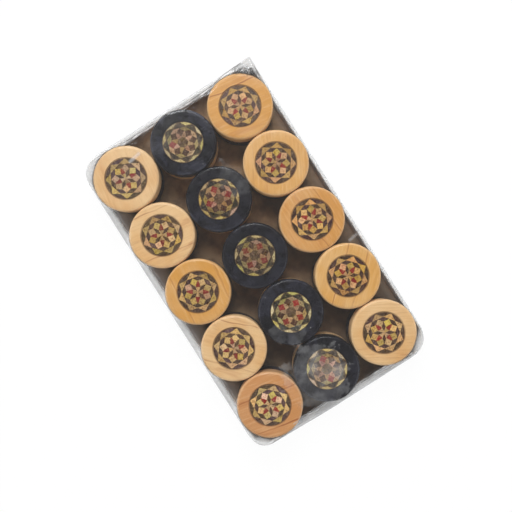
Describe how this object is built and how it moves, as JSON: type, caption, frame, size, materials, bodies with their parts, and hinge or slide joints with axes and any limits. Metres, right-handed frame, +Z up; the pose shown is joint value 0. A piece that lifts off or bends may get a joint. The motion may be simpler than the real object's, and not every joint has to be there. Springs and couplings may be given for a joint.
{
  "type": "backgammon and checkers set",
  "caption": "Light and dark wooden checkers with mosaic inlays, stacked in two layers in a shallow card tray and wrapped in clear film, for backgammon or checkers.",
  "frame": {"origin": "centre of the pack's flat underside", "axes": "+Z up through the stacks; +Y along the five rows, towards the end with the film's ear; +X across the three columns, towards the ear's side"},
  "size_m": [0.0954, 0.1588, 0.0193],
  "materials": {
    "light_wood": "clear satin varnish",
    "dark_wood": "charcoal stain, satin",
    "mosaic_light": "mosaic of dyed wood slivers, varnished",
    "mosaic_dark": "mosaic of dyed wood slivers, varnished",
    "board": "grey board",
    "film": "clear shrink film"
  },
  "bodies": {
    "tray": {"card_tray": "board", "film_lower": "film"},
    "dark_checker_06_piece": {"dark_checker_06": "dark_wood"},
    "light_checker_01_piece": {"light_checker_01": "light_wood", "light_inlay_01": "mosaic_light"},
    "dark_checker_11_piece": {"dark_checker_11": "dark_wood"},
    "light_checker_06_piece": {"light_checker_06": "light_wood", "light_inlay_06": "mosaic_light"},
    "light_checker_11_piece": {"light_checker_11": "light_wood"},
    "dark_checker_01_piece": {"dark_checker_01": "dark_wood", "dark_inlay_01": "mosaic_dark"},
    "dark_checker_07_piece": {"dark_checker_07": "dark_wood"},
    "light_checker_02_piece": {"light_checker_02": "light_wood", "light_inlay_02": "mosaic_light"},
    "dark_checker_12_piece": {"dark_checker_12": "dark_wood"},
    "light_checker_07_piece": {"light_checker_07": "light_wood", "light_inlay_07": "mosaic_light"},
    "light_checker_12_piece": {"light_checker_12": "light_wood"},
    "dark_checker_02_piece": {"dark_checker_02": "dark_wood", "dark_inlay_02": "mosaic_dark"},
    "dark_checker_08_piece": {"dark_checker_08": "dark_wood"},
    "light_checker_03_piece": {"light_checker_03": "light_wood", "light_inlay_03": "mosaic_light"},
    "dark_checker_13_piece": {"dark_checker_13": "dark_wood"},
    "light_checker_08_piece": {"light_checker_08": "light_wood", "light_inlay_08": "mosaic_light"},
    "light_checker_13_piece": {"light_checker_13": "light_wood"},
    "dark_checker_03_piece": {"dark_checker_03": "dark_wood", "dark_inlay_03": "mosaic_dark"},
    "dark_checker_09_piece": {"dark_checker_09": "dark_wood"},
    "light_checker_04_piece": {"light_checker_04": "light_wood", "light_inlay_04": "mosaic_light"},
    "dark_checker_14_piece": {"dark_checker_14": "dark_wood"},
    "light_checker_09_piece": {"light_checker_09": "light_wood", "light_inlay_09": "mosaic_light"},
    "light_checker_14_piece": {"light_checker_14": "light_wood"},
    "dark_checker_04_piece": {"dark_checker_04": "dark_wood", "dark_inlay_04": "mosaic_dark"},
    "dark_checker_10_piece": {"dark_checker_10": "dark_wood"},
    "light_checker_05_piece": {"light_checker_05": "light_wood", "light_inlay_05": "mosaic_light"},
    "dark_checker_15_piece": {"dark_checker_15": "dark_wood"},
    "light_checker_10_piece": {"light_checker_10": "light_wood", "light_inlay_10": "mosaic_light"},
    "light_checker_15_piece": {"light_checker_15": "light_wood"},
    "dark_checker_05_piece": {"dark_checker_05": "dark_wood", "dark_inlay_05": "mosaic_dark"},
    "film": {"film_upper": "film"}
  },
  "joints": [
    {"name": "dark_checker_06_lift", "type": "slide", "parent": "tray", "child": "dark_checker_06_piece", "axis": [0, 0, 1], "range_m": [0, 0.026]},
    {"name": "dark_checker_11_lift", "type": "slide", "parent": "tray", "child": "dark_checker_11_piece", "axis": [0, 0, 1], "range_m": [0, 0.026]},
    {"name": "light_checker_11_lift", "type": "slide", "parent": "tray", "child": "light_checker_11_piece", "axis": [0, 0, 1], "range_m": [0, 0.026]},
    {"name": "dark_checker_07_lift", "type": "slide", "parent": "tray", "child": "dark_checker_07_piece", "axis": [0, 0, 1], "range_m": [0, 0.026]},
    {"name": "dark_checker_12_lift", "type": "slide", "parent": "tray", "child": "dark_checker_12_piece", "axis": [0, 0, 1], "range_m": [0, 0.026]},
    {"name": "light_checker_12_lift", "type": "slide", "parent": "tray", "child": "light_checker_12_piece", "axis": [0, 0, 1], "range_m": [0, 0.026]},
    {"name": "dark_checker_08_lift", "type": "slide", "parent": "tray", "child": "dark_checker_08_piece", "axis": [0, 0, 1], "range_m": [0, 0.026]},
    {"name": "dark_checker_13_lift", "type": "slide", "parent": "tray", "child": "dark_checker_13_piece", "axis": [0, 0, 1], "range_m": [0, 0.026]},
    {"name": "light_checker_13_lift", "type": "slide", "parent": "tray", "child": "light_checker_13_piece", "axis": [0, 0, 1], "range_m": [0, 0.026]},
    {"name": "dark_checker_09_lift", "type": "slide", "parent": "tray", "child": "dark_checker_09_piece", "axis": [0, 0, 1], "range_m": [0, 0.026]},
    {"name": "dark_checker_14_lift", "type": "slide", "parent": "tray", "child": "dark_checker_14_piece", "axis": [0, 0, 1], "range_m": [0, 0.026]},
    {"name": "light_checker_14_lift", "type": "slide", "parent": "tray", "child": "light_checker_14_piece", "axis": [0, 0, 1], "range_m": [0, 0.026]},
    {"name": "dark_checker_10_lift", "type": "slide", "parent": "tray", "child": "dark_checker_10_piece", "axis": [0, 0, 1], "range_m": [0, 0.026]},
    {"name": "dark_checker_15_lift", "type": "slide", "parent": "tray", "child": "dark_checker_15_piece", "axis": [0, 0, 1], "range_m": [0, 0.026]},
    {"name": "light_checker_15_lift", "type": "slide", "parent": "tray", "child": "light_checker_15_piece", "axis": [0, 0, 1], "range_m": [0, 0.026]},
    {"name": "light_checker_01_lift", "type": "slide", "parent": "dark_checker_06_piece", "child": "light_checker_01_piece", "axis": [0, 0, 1], "range_m": [0, 0.02]},
    {"name": "light_checker_06_lift", "type": "slide", "parent": "dark_checker_11_piece", "child": "light_checker_06_piece", "axis": [0, 0, 1], "range_m": [0, 0.02]},
    {"name": "dark_checker_01_lift", "type": "slide", "parent": "light_checker_11_piece", "child": "dark_checker_01_piece", "axis": [0, 0, 1], "range_m": [0, 0.02]},
    {"name": "light_checker_02_lift", "type": "slide", "parent": "dark_checker_07_piece", "child": "light_checker_02_piece", "axis": [0, 0, 1], "range_m": [0, 0.02]},
    {"name": "light_checker_07_lift", "type": "slide", "parent": "dark_checker_12_piece", "child": "light_checker_07_piece", "axis": [0, 0, 1], "range_m": [0, 0.02]},
    {"name": "dark_checker_02_lift", "type": "slide", "parent": "light_checker_12_piece", "child": "dark_checker_02_piece", "axis": [0, 0, 1], "range_m": [0, 0.02]},
    {"name": "light_checker_03_lift", "type": "slide", "parent": "dark_checker_08_piece", "child": "light_checker_03_piece", "axis": [0, 0, 1], "range_m": [0, 0.02]},
    {"name": "light_checker_08_lift", "type": "slide", "parent": "dark_checker_13_piece", "child": "light_checker_08_piece", "axis": [0, 0, 1], "range_m": [0, 0.02]},
    {"name": "dark_checker_03_lift", "type": "slide", "parent": "light_checker_13_piece", "child": "dark_checker_03_piece", "axis": [0, 0, 1], "range_m": [0, 0.02]},
    {"name": "light_checker_04_lift", "type": "slide", "parent": "dark_checker_09_piece", "child": "light_checker_04_piece", "axis": [0, 0, 1], "range_m": [0, 0.02]},
    {"name": "light_checker_09_lift", "type": "slide", "parent": "dark_checker_14_piece", "child": "light_checker_09_piece", "axis": [0, 0, 1], "range_m": [0, 0.02]},
    {"name": "dark_checker_04_lift", "type": "slide", "parent": "light_checker_14_piece", "child": "dark_checker_04_piece", "axis": [0, 0, 1], "range_m": [0, 0.02]},
    {"name": "light_checker_05_lift", "type": "slide", "parent": "dark_checker_10_piece", "child": "light_checker_05_piece", "axis": [0, 0, 1], "range_m": [0, 0.02]},
    {"name": "light_checker_10_lift", "type": "slide", "parent": "dark_checker_15_piece", "child": "light_checker_10_piece", "axis": [0, 0, 1], "range_m": [0, 0.02]},
    {"name": "dark_checker_05_lift", "type": "slide", "parent": "light_checker_15_piece", "child": "dark_checker_05_piece", "axis": [0, 0, 1], "range_m": [0, 0.02]},
    {"name": "film_peel", "type": "slide", "parent": "tray", "child": "film", "axis": [0, 0, 1], "range_m": [0, 0.075], "deforming": ["film_upper"]}
  ]
}
